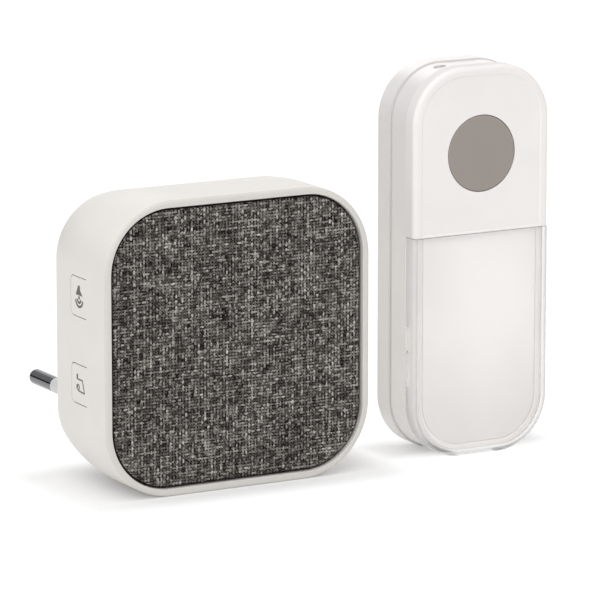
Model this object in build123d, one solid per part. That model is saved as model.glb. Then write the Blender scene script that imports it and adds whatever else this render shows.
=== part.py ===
from build123d import *
from math import sqrt
import os

os.makedirs("parts", exist_ok=True)

# Wireless doorbell: a plug-in chime unit and a push-button transmitter, side by side.
# Millimetres, +Z up, the fronts face -Y. Each unit is drawn about the middle of its own front.

# Chime: outer shell
CHIME_W = 75.0
CHIME_CORNER_R = 18.7
CHIME_DEPTH = 33.0
CHIME_WALL = 2.0
STRAIGHT_DEPTH = 12.0
BACK_INSET = 3.0
RIM_EDGE_R = 0.9
RIM_INNER_R = 0.3
BACK_EDGE_R = 0.8
FRONT_WALL_T = 2.0
BOW_BAND = 8.0

# Chime: grille
GRILLE_W = 70.7
GRILLE_CORNER_R = 15.8
GRILLE_SETBACK = 0.6
GRILLE_PLAY = 0.2
CLOTH_T = 0.4
PANEL_T = 1.8
PANEL_EDGE_R = 0.5
SLOT_PITCH = 4.0
SLOT_W = 2.0
SLOT_FIELD_R = 17.0

# Chime: loudspeaker
SPEAKER_R = 20.0
SPEAKER_MOUTH_R = 16.2
GASKET_T = 0.8
FLANGE_T = 1.0
BASKET_NECK_R = 11.0
BASKET_DEPTH = 8.4
BASKET_SKIN = 1.0
BASKET_WINDOWS = 4
SURROUND_W = 1.0
MAGNET_R = 10.0
MAGNET_T = 5.0
COIL_R = 5.0
CONE_T = 0.4
DOME_RISE = 1.6

# Chime: rear cover and screws
COVER_T = 2.4
COVER_PLAY = 0.1
POST_TO_WALL = 4.9
POST_R = 3.0
SCREW_R = 1.25
SCREW_PLAY = 0.05
SCREW_LENGTH = 9.0
HEAD_R = 2.4
HEAD_T = 1.4
HEAD_PLAY = 0.2
CROSS_W = 0.6
CROSS_L = 2.6
CROSS_DEPTH = 0.7

# Chime: mains plug
PLUG_X = -18.2
PLUG_Z = -17.3
PIN_PITCH = 19.0
PIN_R = 2.0
PIN_CORE_R = 1.5
PIN_LENGTH = 19.0
SLEEVE_LENGTH = 6.0
PIN_TIP_R = 1.4
PIN_ROOT = 3.0
BOSS_W = 25.0
BOSS_H = 9.0
BOSS_DEPTH = 8.0
BOSS_EDGE_R = 0.6
CONTACT_W = 3.0
CONTACT_T = 0.8

# Chime: main board and what stands on it
MAGNET_GAP = 3.0
BOARD_T = 1.6
BOARD_PLAY = 1.2
POST_PLAY = 0.5
STANDOFF_X = 22.0
STANDOFF_R = 2.6
STANDOFF_REST = 2.6
PART_MARGIN = 2.4
PART_EDGE_R = 0.5
FILM_CAP_SIZE = (18.0, 10.0, 8.0)
FILM_CAP_X = 8.0
CAN_R = 4.0
CAN_LENGTH = 12.0
CAN_Z = 11.0
TRANSFORMER_SIZE = (16.0, 12.0, 11.0)
CORE_LIMB = 3.0
COIL_SIZE = (8.0, 8.0)
CHIP_SIZE = (10.0, 1.6, 7.0)
CHIP_AT = (6.0, -2.0)
RADIO_SIZE = (18.0, 1.0, 12.0)
RADIO_CAN = (10.0, 2.2, 9.0)
RADIO_CAN_SHIFT = 2.0
RADIO_AT = (14.0, 14.0)

# Chime: keys in the left wall
KEY_HINGE_Y = 10.2
KEY_END_Y = 19.2
KEY_H = 9.8
KEY_GAP = 0.25
KEY_CORNER_R = 1.6
KEY_MIDDLE_Z = 1.4
KEY_SPREAD = 11.1
KEY_RIB_Y = 16.0
KEY_RIB_R = 0.9
KEY_RIB_PROUD = 1.0
KEY_RIB_L = 5.0
KEY_PLAY = 0.05
KEY_BOARD_T = 1.2
KEY_BOARD_FRONT = 11.5
KEY_BOARD_H = 38.0
SWITCH_W = 6.0
SWITCH_T = 3.0
PLUNGER_R = 1.5
PLUNGER_PROUD = 1.0
PLUNGER_STEM = 1.2
PLUNGER_TRAVEL = 0.5

# Clearances and cuts in both units
FIT = 0.05
OVERRUN = 1.0

# Transmitter: outline and layers, depths measured from its front face
PUSH_W = 40.2
PUSH_H = 101.4
PUSH_CORNER_R = 14.5
PUSH_DEPTH = 18.9
FRONT_LAYER = 4.3
HOUSING_INSET = 0.4
HOUSING_BACK = 12.2
HOUSING_WALL = 1.6
PARTING_GAP = 0.35
PARTING_LAND = 0.8
SPLIT_DROP = 43.1
SPLIT_GAP = 0.15

# Transmitter: cap, push and membrane
CAP_FACE_T = 1.6
CAP_WALL = 1.8
CAP_EDGE_R = 1.3
CAP_BORDER = 2.2
CAP_BEVEL_W = 0.4
CAP_LIP_W = 0.2
CAP_PANEL_DROP = 0.3
PUSH_DROP = 22.6
PUSH_R = 9.85
PUSH_PLAY = 0.15
PUSH_EDGE_R = 0.3
PUSH_TRAVEL = 0.6
FLANGE_R = 11.0
PUSH_FLANGE_T = 0.6
STEM_R = 3.0
MEMBRANE_R = 12.8
MEMBRANE_T = 0.5
MEMBRANE_GAP = 0.1
CLAMP_W = 1.4

# Transmitter: clear cover and card
COVER_PROUD = 0.4
COVER_PLATE = 1.2
COVER_WALL = 1.2
COVER_EDGE_R = 1.3
COVER_SIDE_PLAY = 0.3
DECK_FRONT = 1.0
CARD_INSET = 3.3
CARD_T = 0.3
CARD_PLAY = 0.15
CLIP_RISE = 31.5
CLIP_L = 6.4
CLIP_DEPTH = 1.6
CLIP_PLAY = 0.3
BEAD_PROUD = 0.9
PRY_RISE = 23.55
PRY_L = 8.6
PRY_DEPTH = 0.9

# Transmitter: board, switch and battery
PUSH_BOARD_FRONT = 6.6
PUSH_BOARD_T = 1.2
PUSH_BOARD_SIDE_GAP = 2.35
PUSH_BOARD_TOP_GAP = 4.0
PUSH_BOARD_FOOT_GAP = 19.0
PUSH_BOARD_CORNER_R = 6.0
PUSH_SWITCH_T = 2.0
SWITCH_WELL_R = 5.5
CELL_R = 10.0
CELL_T = 3.2
CELL_EDGE_R = 0.5
CELL_RISE = 38.7
CELL_PAD_T = 0.4
CLIP_STRIP_T = 0.5
CLIP_STRIP_W = 7.0
CLIP_STRIP_PLAY = 0.15
PUSH_CHIP_SIZE = (6.0, 1.2, 6.0)
PUSH_CHIP_DROP = 16.1
PUSH_SCREW_INSET = (4.0, 4.7)
PUSH_SCREW_LENGTH = 1.9
BOARD_POST_R = 2.6
LED_R = 1.5
LED_PAST_BEND = 2.4
LED_Y = 8.0
LED_HOLE_R = 1.65
LED_PLAY = 0.2
SLOT_L = 8.0
SLOT_T = 1.0
SLOT_Y = 10.8

# Transmitter: wall bracket
PLATE_T = 2.0
BRACKET_EDGE_R = 0.8
TONGUE_W = 9.0
TONGUE_T = 1.4
TONGUE_REACH = 2.6
TONGUE_PLAY = 0.15
TONGUE_SIDE_Z = 20.0
WALL_SCREW_PITCH = 56.0
WALL_SCREW_R = 2.0
WALL_SLOT_L = 7.0
WALL_HEAD_R = 3.6
WALL_HEAD_SINK = 0.7

# Where the two units stand
UNIT_PITCH = 71.7
PUSH_FRONT_Y = 2.0

# Worked out from the sizes above
BOW_R = ((CHIME_DEPTH - STRAIGHT_DEPTH) ** 2 + BACK_INSET ** 2) / (2 * BACK_INSET)
GRILLE_SEAT = GRILLE_SETBACK + CLOTH_T + PANEL_T
FRONT_WALL_BACK = GRILLE_SEAT + FRONT_WALL_T
COVER_FRONT = CHIME_DEPTH - COVER_T
POST_AT = CHIME_W / 2 - CHIME_CORNER_R + (CHIME_CORNER_R - BACK_INSET - CHIME_WALL - POST_TO_WALL) / sqrt(2)
BOSS_BACK = CHIME_DEPTH + BOSS_DEPTH
PIN_TIP_Y = BOSS_BACK + PIN_LENGTH
BASKET_FRONT = FRONT_WALL_BACK + GASKET_T
BASKET_BACK = BASKET_FRONT + BASKET_DEPTH
BOARD_FRONT = BASKET_BACK + MAGNET_T + MAGNET_GAP
BOARD_BACK = BOARD_FRONT + BOARD_T
BOARD_SCREW_LENGTH = COVER_FRONT - STANDOFF_REST - BOARD_FRONT
PLATE_FRONT = PUSH_DEPTH - PLATE_T
BRACKET_FRONT = HOUSING_BACK + PARTING_GAP
DECK_INSET = COVER_WALL + COVER_SIDE_PLAY
LED_X = PUSH_CORNER_R - PUSH_W / 2 - LED_PAST_BEND
SPLIT_Z = PUSH_H / 2 - SPLIT_DROP
PUSH_AT_Z = PUSH_H / 2 - PUSH_DROP
CLIP_Z = CLIP_RISE - PUSH_H / 2
PRY_Z = PRY_RISE - PUSH_H / 2
CELL_Z = CELL_RISE - PUSH_H / 2
PUSH_CHIP_Z = PUSH_AT_Z - PUSH_CHIP_DROP
CAVITY_INSET = HOUSING_INSET + HOUSING_WALL
TOP_INNER_Z = PUSH_H / 2 - CAVITY_INSET
PUSH_BOARD_W = PUSH_W - 2 * (CAVITY_INSET + PUSH_BOARD_SIDE_GAP)
PUSH_BOARD_TOP = TOP_INNER_Z - PUSH_BOARD_TOP_GAP
PUSH_BOARD_FOOT = PUSH_BOARD_FOOT_GAP - TOP_INNER_Z
PUSH_SCREW_AT = (PUSH_BOARD_W / 2 - PUSH_SCREW_INSET[0], PUSH_BOARD_TOP - PUSH_SCREW_INSET[1])
PUSH_BOARD_BACK = PUSH_BOARD_FRONT + PUSH_BOARD_T
PUSH_SWITCH_FRONT = PUSH_BOARD_FRONT - PUSH_SWITCH_T
PLUNGER_TIP_Y = PUSH_SWITCH_FRONT - PUSH_TRAVEL
MEMBRANE_FRONT = CAP_FACE_T + PUSH_FLANGE_T + PUSH_TRAVEL + MEMBRANE_GAP
MEMBRANE_BACK = MEMBRANE_FRONT + MEMBRANE_T
CELL_FRONT = PUSH_BOARD_BACK + CELL_PAD_T
CELL_BACK = CELL_FRONT + CELL_T
BRACKET_INSET = CAVITY_INSET + TONGUE_PLAY
CHIME_PLACE = Pos(-(UNIT_PITCH + PUSH_W / 2 - CHIME_W / 2) / 2, -PIN_TIP_Y / 2, CHIME_W / 2)
PUSH_PLACE = CHIME_PLACE * Pos(UNIT_PITCH, PUSH_FRONT_Y, (PUSH_H - CHIME_W) / 2)


def front_view(y):
    """Drawing plane at a depth: +X across, +Z up, its normal towards the viewer."""
    return Plane.XZ.offset(-y)


def slab(outline, y0, y1):
    """A front-view outline made solid between two depths."""
    return extrude(front_view(y0) * outline, amount=y0 - y1)


def turned(points):
    """A closed profile of (radius, depth) points, turned about the Y axis."""
    return revolve(make_face(Polyline(*points, close=True)), Axis.Y)


def block(size, at, y0):
    """A box of (width, depth, height), centred at (x, z), with its front at depth y0."""
    return Pos(at[0], y0, at[1]) * Box(*size, align=(Align.CENTER, Align.MIN, Align.CENTER))


def corners(x, z):
    """The four places at plus and minus x and z."""
    return [(sx * x, sz * z) for sx in (-1, 1) for sz in (-1, 1)]


def screw(length, radius=SCREW_R):
    """A cross-recess pan-head screw. Its head seats at depth 0 and its shank runs to +Y."""
    body = slab(Circle(HEAD_R), -HEAD_T, 0) + slab(Circle(radius), 0, length)
    body = fillet(body.faces().sort_by(Axis.Y)[0].edges(), HEAD_T / 2)
    recess = Rectangle(CROSS_L, CROSS_W) + Rectangle(CROSS_W, CROSS_L)
    return body - slab(recess, -HEAD_T, CROSS_DEPTH - HEAD_T)


def facing_front(shape):
    """A screw drawn to run to +Y, turned to run to -Y."""
    return Rot(0, 0, 180) * shape


# Chime unit

def wall_half(y, inset=0.0):
    """Half-width of the chime at a depth, moved in from the outer skin by inset."""
    bow = max(y - STRAIGHT_DEPTH, 0.0)
    return CHIME_W / 2 - BOW_R + sqrt((BOW_R - inset) ** 2 - bow ** 2)


def bowed_form(inset, y0, y1):
    """The chime's form: straight walls at the front, then bowed in towards the back."""
    half = CHIME_W / 2 - inset
    corner = CHIME_CORNER_R - inset
    outline = RectangleRounded(2 * half, 2 * half, corner)
    inner = RectangleRounded(2 * (half - BOW_BAND), 2 * (half - BOW_BAND), corner - BOW_BAND)
    path = (front_view(STRAIGHT_DEPTH) * outline).wire()
    start = path @ 0
    along = path % 0
    outward = along.cross(Vector(0, 1, 0))
    if outward.dot(start - Vector(0, STRAIGHT_DEPTH, 0)) < 0:
        outward = -outward
    section = Plane(origin=start, x_dir=outward, z_dir=outward.cross(Vector(0, 1, 0)))
    depth = y1 - STRAIGHT_DEPTH
    middle = (wall_half(STRAIGHT_DEPTH + depth / 2, inset) - half, depth / 2)
    end = (wall_half(y1, inset) - half, depth)
    profile = Line((-BOW_BAND, 0), (0, 0)) + ThreePointArc((0, 0), middle, end)
    profile += Polyline(end, (-BOW_BAND, depth), (-BOW_BAND, 0))
    ring = sweep(section * make_face(profile), path)
    return slab(outline, y0, STRAIGHT_DEPTH) + slab(inner, STRAIGHT_DEPTH, y1) + ring


def key_z(side):
    """Height of a key's middle: side is 1 for the volume key above, -1 for the melody key below."""
    return KEY_MIDDLE_Z + side * KEY_SPREAD


def key_outline(gap):
    """Side view of a key: square at its hinge, rounded at its free end, grown by a gap."""
    length = KEY_END_Y + gap - KEY_HINGE_Y
    plain = Rectangle(length, KEY_H + 2 * gap, align=(Align.MIN, Align.CENTER))
    return fillet(plain.vertices().group_by(Axis.X)[-1], KEY_CORNER_R + gap)


def key_prism(z, gap):
    """The key's side outline, run through the left wall at height z."""
    outer = Plane.YZ.offset(-CHIME_W / 2 - CHIME_WALL)
    return extrude(outer * Pos(KEY_HINGE_Y, z) * key_outline(gap), amount=3 * CHIME_WALL)


def chime_wall():
    """The shell's side wall alone, open at both ends."""
    return bowed_form(0, 0, CHIME_DEPTH) - bowed_form(CHIME_WALL, -OVERRUN, CHIME_DEPTH + OVERRUN)


def chime_housing():
    shell = bowed_form(0, 0, CHIME_DEPTH)
    shell -= bowed_form(CHIME_WALL, FRONT_WALL_BACK, CHIME_DEPTH + OVERRUN)
    opening_w = GRILLE_W + 2 * GRILLE_PLAY
    opening = RectangleRounded(opening_w, opening_w, GRILLE_CORNER_R + GRILLE_PLAY)
    shell -= slab(opening, -OVERRUN, GRILLE_SEAT)
    shell -= slab(Circle(SPEAKER_MOUTH_R), GRILLE_SEAT - OVERRUN, FRONT_WALL_BACK + OVERRUN)
    rim = shell.faces().sort_by(Axis.Y)[0]
    shell = fillet(rim.outer_wire().edges(), RIM_EDGE_R)
    rim = shell.faces().sort_by(Axis.Y)[0]
    shell = fillet(rim.inner_wires()[0].edges(), RIM_INNER_R)
    back = shell.faces().sort_by(Axis.Y)[-1]
    shell = fillet(back.outer_wire().edges(), BACK_EDGE_R)
    for x, z in corners(POST_AT, POST_AT):
        shell += Pos(x, 0, z) * slab(Circle(POST_R), FRONT_WALL_BACK, COVER_FRONT)
        shell -= Pos(x, 0, z) * slab(Circle(SCREW_R + SCREW_PLAY), COVER_FRONT - SCREW_LENGTH, COVER_FRONT)
    for side in (1, -1):
        shell -= key_prism(key_z(side), KEY_GAP)
    return shell


def key_rib_crest():
    """Depth across X at which a key's inner rib ends."""
    return KEY_RIB_PROUD - wall_half(KEY_RIB_Y, CHIME_WALL)


def wall_key(side):
    z = key_z(side)
    key = chime_wall() & key_prism(z, 0)
    rib = Pos(key_rib_crest() - KEY_RIB_R, KEY_RIB_Y, z) * Cylinder(KEY_RIB_R, KEY_RIB_L)
    return key + rib


def switch_front_x():
    """Where the key switches' bodies begin, behind their plungers."""
    return key_rib_crest() + KEY_PLAY + PLUNGER_PROUD


def across(shape):
    """A shape drawn to run to +Z, turned to run to +X."""
    return Rot(0, 90, 0) * shape


def key_plunger(side):
    length = PLUNGER_PROUD + PLUNGER_STEM
    place = Pos(key_rib_crest() + KEY_PLAY, KEY_RIB_Y, key_z(side))
    return place * across(Cylinder(PLUNGER_R, length, align=(Align.CENTER, Align.CENTER, Align.MIN)))


def key_switches():
    cases = []
    for side in (1, -1):
        place = Pos(switch_front_x(), KEY_RIB_Y, key_z(side))
        case = place * Box(SWITCH_T, SWITCH_W, SWITCH_W, align=(Align.MIN, Align.CENTER, Align.CENTER))
        well = PLUNGER_STEM + PLUNGER_TRAVEL
        bore = Cylinder(PLUNGER_R + FIT, well, align=(Align.CENTER, Align.CENTER, Align.MIN))
        cases.append(case - place * across(bore))
    return Compound(children=cases)


def key_board():
    x = switch_front_x() + SWITCH_T
    size = (KEY_BOARD_T, BOARD_FRONT - KEY_BOARD_FRONT, KEY_BOARD_H)
    return Pos(x, KEY_BOARD_FRONT, KEY_MIDDLE_Z) * Box(*size, align=(Align.MIN, Align.MIN, Align.CENTER))


def grille_panel():
    inner = GRILLE_W - 2 * CLOTH_T
    front = GRILLE_SETBACK + CLOTH_T
    panel = slab(RectangleRounded(inner, inner, GRILLE_CORNER_R - CLOTH_T), front, GRILLE_SEAT)
    rows = int(SLOT_FIELD_R / SLOT_PITCH)
    for row in range(-rows, rows + 1):
        z = row * SLOT_PITCH
        length = 2 * sqrt(SLOT_FIELD_R ** 2 - z ** 2)
        for side in (-1, 1):
            slot = SlotOverall(length / 2 - SLOT_W / 2, SLOT_W)
            place = Pos(side * (length + SLOT_W) / 4, z)
            panel -= slab(place * slot, front - OVERRUN, GRILLE_SEAT + OVERRUN)
    return fillet(panel.faces().sort_by(Axis.Y)[0].outer_wire().edges(), PANEL_EDGE_R)


def grille_fabric():
    inner = GRILLE_W - 2 * CLOTH_T
    front = GRILLE_SETBACK + CLOTH_T
    skin = slab(RectangleRounded(GRILLE_W, GRILLE_W, GRILLE_CORNER_R), GRILLE_SETBACK, GRILLE_SEAT)
    skin = fillet(skin.faces().sort_by(Axis.Y)[0].edges(), PANEL_EDGE_R + CLOTH_T)
    core = slab(RectangleRounded(inner, inner, GRILLE_CORNER_R - CLOTH_T), front, GRILLE_SEAT + OVERRUN)
    core = fillet(core.faces().sort_by(Axis.Y)[0].edges(), PANEL_EDGE_R)
    return skin - core


def speaker_gasket():
    return slab(Circle(SPEAKER_R) - Circle(SPEAKER_MOUTH_R), FRONT_WALL_BACK, BASKET_FRONT)


def speaker_basket():
    flange_back = BASKET_FRONT + FLANGE_T
    neck_front = BASKET_BACK - 2 * BASKET_SKIN
    basket = turned([
        (SPEAKER_MOUTH_R, BASKET_FRONT), (SPEAKER_R, BASKET_FRONT), (SPEAKER_R, flange_back),
        (SPEAKER_MOUTH_R + BASKET_SKIN, flange_back), (BASKET_NECK_R, neck_front),
        (BASKET_NECK_R, BASKET_BACK), (COIL_R + BASKET_SKIN, BASKET_BACK),
        (COIL_R + BASKET_SKIN, BASKET_BACK - BASKET_SKIN), (BASKET_NECK_R - BASKET_SKIN, neck_front),
        (SPEAKER_MOUTH_R, flange_back),
    ])
    window = Pos(SPEAKER_MOUTH_R, 0) * Rectangle(SPEAKER_R - BASKET_NECK_R, BASKET_NECK_R)
    cut = slab(window, flange_back, neck_front)
    for turn in range(BASKET_WINDOWS):
        basket -= Rot(0, (turn + 0.5) * 360 / BASKET_WINDOWS, 0) * cut
    return basket


def speaker_magnet():
    magnet = slab(Circle(MAGNET_R), BASKET_BACK, BASKET_BACK + MAGNET_T)
    return magnet + slab(Circle(COIL_R - 2 * CONE_T), BASKET_BACK - 2 * BASKET_SKIN, BASKET_BACK)


def speaker_cone():
    rim_back = BASKET_FRONT + CONE_T
    foot = BASKET_BACK - 3 * BASKET_SKIN
    coil_back = BASKET_BACK - BASKET_SKIN
    cone = turned([
        (SPEAKER_MOUTH_R, BASKET_FRONT), (SPEAKER_MOUTH_R, rim_back), (SPEAKER_MOUTH_R - SURROUND_W, rim_back),
        (COIL_R, foot), (COIL_R, coil_back), (COIL_R - CONE_T, coil_back), (COIL_R - CONE_T, foot - CONE_T),
        (SPEAKER_MOUTH_R - SURROUND_W - CONE_T, BASKET_FRONT),
    ])
    dome_y = foot - CONE_T
    dome = Line((0, dome_y), (COIL_R, dome_y)) + Line((0, dome_y), (0, dome_y - DOME_RISE))
    dome_r = (COIL_R ** 2 + DOME_RISE ** 2) / (2 * DOME_RISE)
    dome += RadiusArc((0, dome_y - DOME_RISE), (COIL_R, dome_y), -dome_r)
    return cone + revolve(make_face(dome), Axis.Y)


def rear_cover():
    half = wall_half(CHIME_DEPTH, CHIME_WALL) - COVER_PLAY
    corner = half - (CHIME_W / 2 - CHIME_CORNER_R)
    cover = slab(RectangleRounded(2 * half, 2 * half, corner), COVER_FRONT, CHIME_DEPTH)
    boss = Pos(PLUG_X, PLUG_Z) * SlotOverall(BOSS_W, BOSS_H)
    cover += slab(boss, CHIME_DEPTH, BOSS_BACK)
    cover = fillet(cover.faces().sort_by(Axis.Y)[-1].edges(), BOSS_EDGE_R)
    for x, z in corners(POST_AT, POST_AT):
        cover -= Pos(x, 0, z) * slab(Circle(HEAD_R + HEAD_PLAY), CHIME_DEPTH - HEAD_T, CHIME_DEPTH)
        cover -= Pos(x, 0, z) * slab(Circle(SCREW_R + SCREW_PLAY), COVER_FRONT, CHIME_DEPTH)
    for side in (-1, 1):
        pin = Pos(PLUG_X + side * PIN_PITCH / 2, 0, PLUG_Z)
        cover -= pin * slab(Circle(PIN_CORE_R), COVER_FRONT - OVERRUN, BOSS_BACK)
        standoff = Pos(side * STANDOFF_X, 0, 0)
        cover += standoff * slab(Circle(STANDOFF_R), BOARD_BACK, COVER_FRONT)
        cover -= standoff * slab(Circle(SCREW_R + SCREW_PLAY), BOARD_BACK, COVER_FRONT)
    return cover


def plug_pins():
    pins = []
    for side in (-1, 1):
        core = slab(Circle(PIN_CORE_R), COVER_FRONT - PIN_ROOT, BOSS_BACK + SLEEVE_LENGTH)
        tip = slab(Circle(PIN_R), BOSS_BACK + SLEEVE_LENGTH, PIN_TIP_Y)
        tip = fillet(tip.faces().sort_by(Axis.Y)[-1].edges(), PIN_TIP_R)
        pins.append(Pos(PLUG_X + side * PIN_PITCH / 2, 0, PLUG_Z) * (core + tip))
    return Compound(children=pins)


def pin_sleeves():
    tube = slab(Circle(PIN_R) - Circle(PIN_CORE_R), BOSS_BACK, BOSS_BACK + SLEEVE_LENGTH)
    return Compound(children=[Pos(PLUG_X + side * PIN_PITCH / 2, 0, PLUG_Z) * tube for side in (-1, 1)])


def pin_contacts():
    strip = block((CONTACT_W, COVER_FRONT - PIN_ROOT - BOARD_BACK, CONTACT_T), (0, 0), BOARD_BACK)
    return Compound(children=[Pos(PLUG_X + side * PIN_PITCH / 2, 0, PLUG_Z) * strip for side in (-1, 1)])


def board_half():
    """Half-width of the main board, inside the bowed wall."""
    return wall_half(BOARD_BACK, CHIME_WALL) - BOARD_PLAY


def main_board():
    half = board_half()
    outline = RectangleRounded(2 * half, 2 * half, half - (CHIME_W / 2 - CHIME_CORNER_R))
    for x, z in corners(POST_AT, POST_AT):
        outline -= Pos(x, z) * Circle(POST_R + POST_PLAY)
    for side in (-1, 1):
        outline -= Pos(side * STANDOFF_X, 0) * Circle(SCREW_R + SCREW_PLAY)
    return slab(outline, BOARD_FRONT, BOARD_BACK)


def mains_capacitor():
    width, depth, height = FILM_CAP_SIZE
    z = PART_MARGIN + height / 2 - board_half()
    return fillet(block(FILM_CAP_SIZE, (FILM_CAP_X, z), BOARD_FRONT - depth).edges(), PART_EDGE_R)


def smoothing_capacitors():
    can = slab(Circle(CAN_R), BOARD_FRONT - CAN_LENGTH, BOARD_FRONT)
    can = fillet(can.faces().sort_by(Axis.Y)[0].edges(), PART_EDGE_R)
    x = board_half() - PART_MARGIN - CAN_R
    return Compound(children=[Pos(x, 0, side * CAN_Z) * can for side in (-1, 1)])


def power_transformer():
    width, depth, height = TRANSFORMER_SIZE
    at = (0, board_half() - PART_MARGIN - height / 2)
    front = BOARD_FRONT - depth
    core = block(TRANSFORMER_SIZE, at, front)
    core -= block((width - 2 * CORE_LIMB, depth, height - 2 * CORE_LIMB), at, front)
    return core + block((COIL_SIZE[0], depth, COIL_SIZE[1]), at, front)


def sound_chip():
    return block(CHIP_SIZE, CHIP_AT, BOARD_BACK)


def radio_module():
    carrier = block(RADIO_SIZE, RADIO_AT, BOARD_BACK)
    can_at = (RADIO_AT[0] + RADIO_CAN_SHIFT, RADIO_AT[1])
    return carrier + block(RADIO_CAN, can_at, BOARD_BACK + RADIO_SIZE[1])


def rear_screws():
    one = facing_front(screw(SCREW_LENGTH))
    seat = CHIME_DEPTH - HEAD_T
    return Compound(children=[Pos(x, seat, z) * one for x, z in corners(POST_AT, POST_AT)])


def board_screws():
    one = screw(BOARD_SCREW_LENGTH)
    return Compound(children=[Pos(side * STANDOFF_X, BOARD_FRONT, 0) * one for side in (-1, 1)])


# Transmitter

def push_outline(inset):
    return RectangleRounded(PUSH_W - 2 * inset, PUSH_H - 2 * inset, PUSH_CORNER_R - inset)


def above_split(z):
    """Everything above a height, as a wide front-view rectangle."""
    return Pos(0, z) * Rectangle(2 * PUSH_W, PUSH_H, align=(Align.CENTER, Align.MIN))


def below_split(z):
    return Pos(0, z) * Rectangle(2 * PUSH_W, PUSH_H, align=(Align.CENTER, Align.MAX))


def front_cap():
    cap = slab(push_outline(0) & above_split(SPLIT_Z), 0, FRONT_LAYER)
    cap = fillet(cap.faces().sort_by(Axis.Y)[0].edges().sort_by(Axis.Z)[1:], CAP_EDGE_R)
    inner = push_outline(CAP_WALL) & above_split(SPLIT_Z + CAP_WALL)
    cap -= slab(inner, CAP_FACE_T, FRONT_LAYER + OVERRUN)
    rim = push_outline(CAP_BORDER) & above_split(SPLIT_Z + CAP_LIP_W)
    floor = push_outline(CAP_BORDER + CAP_BEVEL_W) & above_split(SPLIT_Z + CAP_LIP_W + CAP_BEVEL_W)
    cap -= loft([front_view(0) * rim, front_view(CAP_PANEL_DROP) * floor], ruled=True)
    clamp = Pos(0, PUSH_AT_Z) * (Circle(MEMBRANE_R) - Circle(MEMBRANE_R - CLAMP_W))
    cap += slab(clamp, CAP_FACE_T, MEMBRANE_FRONT)
    return cap - slab(Pos(0, PUSH_AT_Z) * Circle(PUSH_R + PUSH_PLAY), -OVERRUN, CAP_FACE_T)


def bell_push():
    disc = slab(Circle(PUSH_R), CAP_PANEL_DROP, CAP_FACE_T)
    disc = fillet(disc.faces().sort_by(Axis.Y)[0].edges(), PUSH_EDGE_R)
    flange = slab(Circle(FLANGE_R), CAP_FACE_T, CAP_FACE_T + PUSH_FLANGE_T)
    stem = slab(Circle(STEM_R), CAP_FACE_T + PUSH_FLANGE_T, PLUNGER_TIP_Y)
    return Pos(0, 0, PUSH_AT_Z) * (disc + flange + stem)


def push_membrane():
    ring = Pos(0, PUSH_AT_Z) * (Circle(MEMBRANE_R) - Circle(STEM_R + FIT))
    return slab(ring, MEMBRANE_FRONT, MEMBRANE_BACK)


def push_housing():
    body = slab(push_outline(HOUSING_INSET), FRONT_LAYER, HOUSING_BACK)
    deck = push_outline(DECK_INSET) & below_split(SPLIT_Z - SPLIT_GAP)
    body += slab(deck, DECK_FRONT, FRONT_LAYER)
    body -= slab(push_outline(CAVITY_INSET), FRONT_LAYER + HOUSING_WALL, HOUSING_BACK + OVERRUN)
    hollow = push_outline(DECK_INSET + HOUSING_WALL) & below_split(SPLIT_Z - SPLIT_GAP - HOUSING_WALL)
    body -= slab(hollow, DECK_FRONT + CARD_T + HOUSING_WALL, FRONT_LAYER + HOUSING_WALL)
    card_seat = push_outline(CARD_INSET - CARD_PLAY) & below_split(SPLIT_Z)
    body -= slab(card_seat, DECK_FRONT - OVERRUN, DECK_FRONT + CARD_T)
    seat = Pos(0, PUSH_AT_Z) * Circle(MEMBRANE_R)
    body += slab(seat, MEMBRANE_BACK, FRONT_LAYER)
    well = Pos(0, PUSH_AT_Z) * Circle(SWITCH_WELL_R)
    body -= slab(well, MEMBRANE_BACK - OVERRUN, FRONT_LAYER + HOUSING_WALL + OVERRUN)
    for side in (-1, 1):
        post = Pos(side * PUSH_SCREW_AT[0], 0, PUSH_SCREW_AT[1])
        body += post * slab(Circle(BOARD_POST_R), FRONT_LAYER, PUSH_BOARD_FRONT)
        screw_foot = PUSH_BOARD_FRONT - PUSH_SCREW_LENGTH
        body -= post * slab(Circle(SCREW_R + SCREW_PLAY), screw_foot, PUSH_BOARD_FRONT)
        bead_x = PUSH_W / 2 - DECK_INSET
        bead = Box(2 * BEAD_PROUD, FRONT_LAYER - DECK_FRONT, CLIP_L - 2 * CLIP_PLAY,
                   align=(Align.CENTER, Align.MAX, Align.CENTER))
        keep = Pos(side * bead_x, FRONT_LAYER, CLIP_Z) * bead
        body += keep & slab(Rectangle(PUSH_W, PUSH_H), FRONT_LAYER - CLIP_DEPTH + CLIP_PLAY, FRONT_LAYER)
    led_hole = Pos(LED_X, LED_Y, TOP_INNER_Z - HOUSING_WALL / 2)
    body -= led_hole * Cylinder(LED_HOLE_R, 2 * HOUSING_WALL, align=(Align.CENTER, Align.CENTER, Align.MIN))
    pry = Pos(0, SLOT_Y, TOP_INNER_Z + HOUSING_WALL / 2)
    body -= pry * Box(SLOT_L, SLOT_T, HOUSING_WALL, align=(Align.CENTER, Align.CENTER, Align.MIN))
    return body


def name_cover():
    top = SPLIT_Z - SPLIT_GAP
    cover = slab(push_outline(0) & below_split(top), -COVER_PROUD, FRONT_LAYER)
    cover = fillet(cover.faces().sort_by(Axis.Y)[0].edges().sort_by(Axis.Z)[:-1], COVER_EDGE_R)
    inner = push_outline(COVER_WALL) & below_split(top + OVERRUN)
    cover -= slab(inner, COVER_PLATE - COVER_PROUD, FRONT_LAYER + OVERRUN)
    for z, length, depth in ((CLIP_Z, CLIP_L, CLIP_DEPTH), (PRY_Z, PRY_L, PRY_DEPTH)):
        notch = Box(2 * PUSH_W, depth, length, align=(Align.CENTER, Align.MAX, Align.CENTER))
        cover -= Pos(0, FRONT_LAYER, z) * notch
    return cover


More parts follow.
